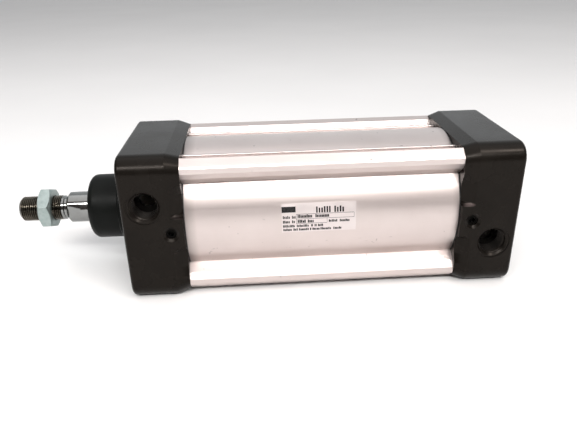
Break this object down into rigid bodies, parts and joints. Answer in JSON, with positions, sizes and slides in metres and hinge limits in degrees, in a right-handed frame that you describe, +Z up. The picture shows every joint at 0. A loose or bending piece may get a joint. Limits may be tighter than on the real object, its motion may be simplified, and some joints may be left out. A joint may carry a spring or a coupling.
{
  "type": "pneumatic cylinder",
  "caption": "Double-acting pneumatic cylinder: ribbed aluminium barrel between two square end covers, threaded piston rod with lock nut, air ports and cushion screws.",
  "frame": {"origin": "on the rod's axis, in the front cover's mounting face", "axes": "+X along the axis towards the rear cover (the rod comes out towards -X), -Y is the side with the air ports, +Z up"},
  "size_m": [0.39, 0.115, 0.115],
  "materials": {
    "cover_paint": "satin black coat on die-cast aluminium",
    "barrel_alloy": "anodised matt",
    "label": "satin",
    "zinc_steel": "zinc plated",
    "dark_steel": "blackened",
    "seal_rubber": "matt",
    "bush_bronze": "plain",
    "rod_chrome": "polished",
    "piston_alloy": "turned",
    "magnet": "matt",
    "sleeve_plastic": "matt"
  },
  "bodies": {
    "barrel": {"front_cover": "cover_paint", "front_neck": "cover_paint", "rear_cover": "cover_paint", "barrel_tube": "barrel_alloy", "rating_label": "label", "front_cover_screws": "zinc_steel", "rear_cover_screws": "zinc_steel", "front_barrel_seal": "seal_rubber", "rear_barrel_seal": "seal_rubber", "front_cushion_seal": "seal_rubber", "rear_cushion_seal": "seal_rubber", "front_buffer": "seal_rubber", "rear_buffer": "seal_rubber", "rod_bush": "bush_bronze", "rod_seal": "seal_rubber"},
    "seal_carrier": {"guide_ring": "sleeve_plastic", "front_piston_seal": "seal_rubber", "rear_piston_seal": "seal_rubber"},
    "rod": {"piston_rod": "rod_chrome", "piston_front_half": "piston_alloy", "piston_rear_half": "piston_alloy", "piston_magnet": "magnet", "front_cushion_sleeve": "sleeve_plastic", "rear_cushion_sleeve": "sleeve_plastic", "piston_nut": "zinc_steel"},
    "lock_nut": {"lock_nut": "zinc_steel"},
    "front_cushion_screw": {"front_cushion_screw": "dark_steel", "front_screw_ring": "seal_rubber"},
    "rear_cushion_screw": {"rear_cushion_screw": "dark_steel", "rear_screw_ring": "seal_rubber"}
  },
  "joints": [
    {"name": "rod_stroke", "type": "slide", "parent": "barrel", "child": "seal_carrier", "axis": [-1, 0, 0], "range_m": [0, 0.16]},
    {"name": "rod_turn", "type": "hinge", "parent": "seal_carrier", "child": "rod", "pos_m": [0, 0, 0], "axis": [1, 0, 0], "continuous": true},
    {"name": "lock_nut_turn", "type": "hinge", "parent": "rod", "child": "lock_nut", "pos_m": [-0.0706, 0, 0], "axis": [1, 0, 0], "continuous": true},
    {"name": "front_cushion_adjust", "type": "hinge", "parent": "barrel", "child": "front_cushion_screw", "pos_m": [0.035, -0.05, -0.0016], "axis": [0, -1, 0], "range_deg": [0, 900]},
    {"name": "rear_cushion_adjust", "type": "hinge", "parent": "barrel", "child": "rear_cushion_screw", "pos_m": [0.263, -0.05, -0.0016], "axis": [0, -1, 0], "range_deg": [0, 900]}
  ]
}
